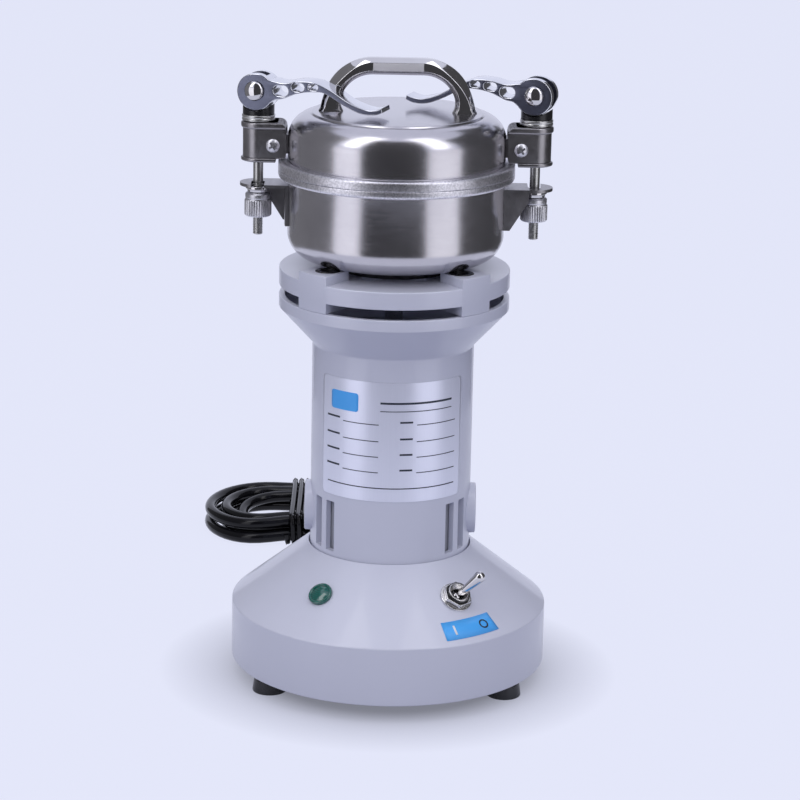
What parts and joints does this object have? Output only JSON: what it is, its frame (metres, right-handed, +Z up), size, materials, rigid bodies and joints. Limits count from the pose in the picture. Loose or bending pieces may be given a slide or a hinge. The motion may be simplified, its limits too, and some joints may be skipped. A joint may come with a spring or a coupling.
{
  "type": "laboratory mill",
  "caption": "Upright lab mill: a round weighted stand with a motor in its neck, a bladed steel bowl and a steel lid held down by cam levers.",
  "frame": {"origin": "on the surface it stands on, under the middle of the base", "axes": "+Z up along the motor shaft, front (switch and lamp) towards -Y, clamps on -X (left) and +X (right)"},
  "size_m": [0.1891, 0.3578, 0.3165],
  "materials": {
    "housing_plastic": "satin",
    "black_plastic": "satin",
    "dark_plastic": "matte",
    "block_plastic": "satin",
    "lens_green": "gloss",
    "rubber_black": "matte",
    "gasket_rubber": "matte",
    "bowl_steel": "spun and brushed",
    "inner_steel": "plain",
    "blade_steel": "ground",
    "dark_steel": "dull dark coating",
    "zinc_steel": "zinc plated",
    "chrome_steel": "polished",
    "lever_alloy": "brushed and polished",
    "core_steel": "stacked sheets",
    "winding_copper": "enamelled wire",
    "brass_plain": "plain",
    "carbon_black": "pressed carbon"
  },
  "bodies": {
    "stand": {"base_shell": "housing_plastic", "bottom_plate": "inner_steel", "rubber_feet": "rubber_black", "base_screws": "zinc_steel", "motor_housing": "housing_plastic", "motor_sleeve": "dark_plastic", "motor_brackets": "inner_steel", "motor_bearings": "inner_steel", "stator_core": "core_steel", "field_coils": "winding_copper", "motor_bolts": "zinc_steel", "brush_caps": "housing_plastic", "brush_holders": "brass_plain", "brush_sets": "carbon_black", "chamber_seat": "housing_plastic", "seat_grommets": "rubber_black", "chamber_screws": "zinc_steel", "bowl": "bowl_steel", "shaft_seal": "rubber_black", "ear_brackets": "dark_steel", "switch_body": "dark_plastic", "switch_nut": "chrome_steel", "lamp_body": "dark_plastic", "lamp_lens": "lens_green", "terminal_block": "block_plastic", "cord_grip": "rubber_black", "cord_lead": "rubber_black", "cord_hank": "rubber_black", "cord_tail": "rubber_black", "cord_tie": "black_plastic", "plug_body": "black_plastic", "plug_pins": "brass_plain"},
    "rotor": {"rotor_shaft": "inner_steel", "armature_core": "core_steel", "armature_windings": "winding_copper", "commutator": "winding_copper", "cooling_fan": "dark_plastic", "blades": "blade_steel", "blade_nut": "blade_steel"},
    "lid": {"lid_shell": "bowl_steel", "lid_gasket": "gasket_rubber", "lid_handle": "chrome_steel", "handle_screws": "zinc_steel", "lid_lugs": "bowl_steel", "clamp_boxes": "dark_steel", "cross_screws": "zinc_steel", "thrust_rings": "zinc_steel"},
    "saddle_left": {"cam_saddle_left": "black_plastic"},
    "rod_left": {"clamp_rod_left": "zinc_steel", "pivot_pin_left": "chrome_steel"},
    "lever_left": {"clamp_lever_left": "lever_alloy"},
    "collar_left": {"nut_collar_left": "chrome_steel"},
    "nut_left": {"knurled_nut_left": "zinc_steel"},
    "saddle_right": {"cam_saddle_right": "black_plastic"},
    "rod_right": {"clamp_rod_right": "zinc_steel", "pivot_pin_right": "chrome_steel"},
    "lever_right": {"clamp_lever_right": "lever_alloy"},
    "collar_right": {"nut_collar_right": "chrome_steel"},
    "nut_right": {"knurled_nut_right": "zinc_steel"},
    "toggle_lever": {"toggle": "chrome_steel"}
  },
  "joints": [
    {"name": "rotor_spin", "type": "hinge", "parent": "stand", "child": "rotor", "pos_m": [0, 0, 0.2], "axis": [0, 0, 1], "continuous": true},
    {"name": "lid_lift", "type": "slide", "parent": "stand", "child": "lid", "axis": [0, 0, 1], "range_m": [0, 0.085]},
    {"name": "saddle_swivel_left", "type": "hinge", "parent": "lid", "child": "saddle_left", "pos_m": [-0.0683, 0, 0.288], "axis": [0, 0, 1], "range_deg": [-75, 0]},
    {"name": "rod_drop_left", "type": "slide", "parent": "saddle_left", "child": "rod_left", "axis": [0, 0, -1], "range_m": [0, 0.0015]},
    {"name": "lever_turn_left", "type": "hinge", "parent": "rod_left", "child": "lever_left", "pos_m": [-0.0683, 0, 0.29975], "axis": [-0.309, -0.9511, 0], "range_deg": [0, 165]},
    {"name": "collar_drop_left", "type": "slide", "parent": "stand", "child": "collar_left", "axis": [0, 0, -1], "range_m": [0, 0.0015]},
    {"name": "nut_spin_left", "type": "hinge", "parent": "collar_left", "child": "nut_left", "pos_m": [-0.0683, 0, 0.243], "axis": [0, 0, 1], "continuous": true},
    {"name": "saddle_swivel_right", "type": "hinge", "parent": "lid", "child": "saddle_right", "pos_m": [0.0683, 0, 0.288], "axis": [0, 0, 1], "range_deg": [-75, 0]},
    {"name": "rod_drop_right", "type": "slide", "parent": "saddle_right", "child": "rod_right", "axis": [0, 0, -1], "range_m": [0, 0.0015]},
    {"name": "lever_turn_right", "type": "hinge", "parent": "rod_right", "child": "lever_right", "pos_m": [0.0683, 0, 0.29975], "axis": [0.309, 0.9511, 0], "range_deg": [0, 165]},
    {"name": "collar_drop_right", "type": "slide", "parent": "stand", "child": "collar_right", "axis": [0, 0, -1], "range_m": [0, 0.0015]},
    {"name": "nut_spin_right", "type": "hinge", "parent": "collar_right", "child": "nut_right", "pos_m": [0.0683, 0, 0.243], "axis": [0, 0, 1], "continuous": true},
    {"name": "toggle_tilt", "type": "hinge", "parent": "stand", "child": "toggle_lever", "pos_m": [0.03342, -0.04862, 0.05519], "axis": [-0.4434, 0.6452, 0.6222], "range_deg": [-48, 0]}
  ],
  "couplings": [
    {"joint": "rod_drop_left", "follows": "lever_turn_left", "m_per_rad": 0.00052087},
    {"joint": "collar_drop_left", "follows": "lever_turn_left", "m_per_rad": 0.00052087},
    {"joint": "rod_drop_right", "follows": "lever_turn_right", "m_per_rad": 0.00052087},
    {"joint": "collar_drop_right", "follows": "lever_turn_right", "m_per_rad": 0.00052087}
  ]
}
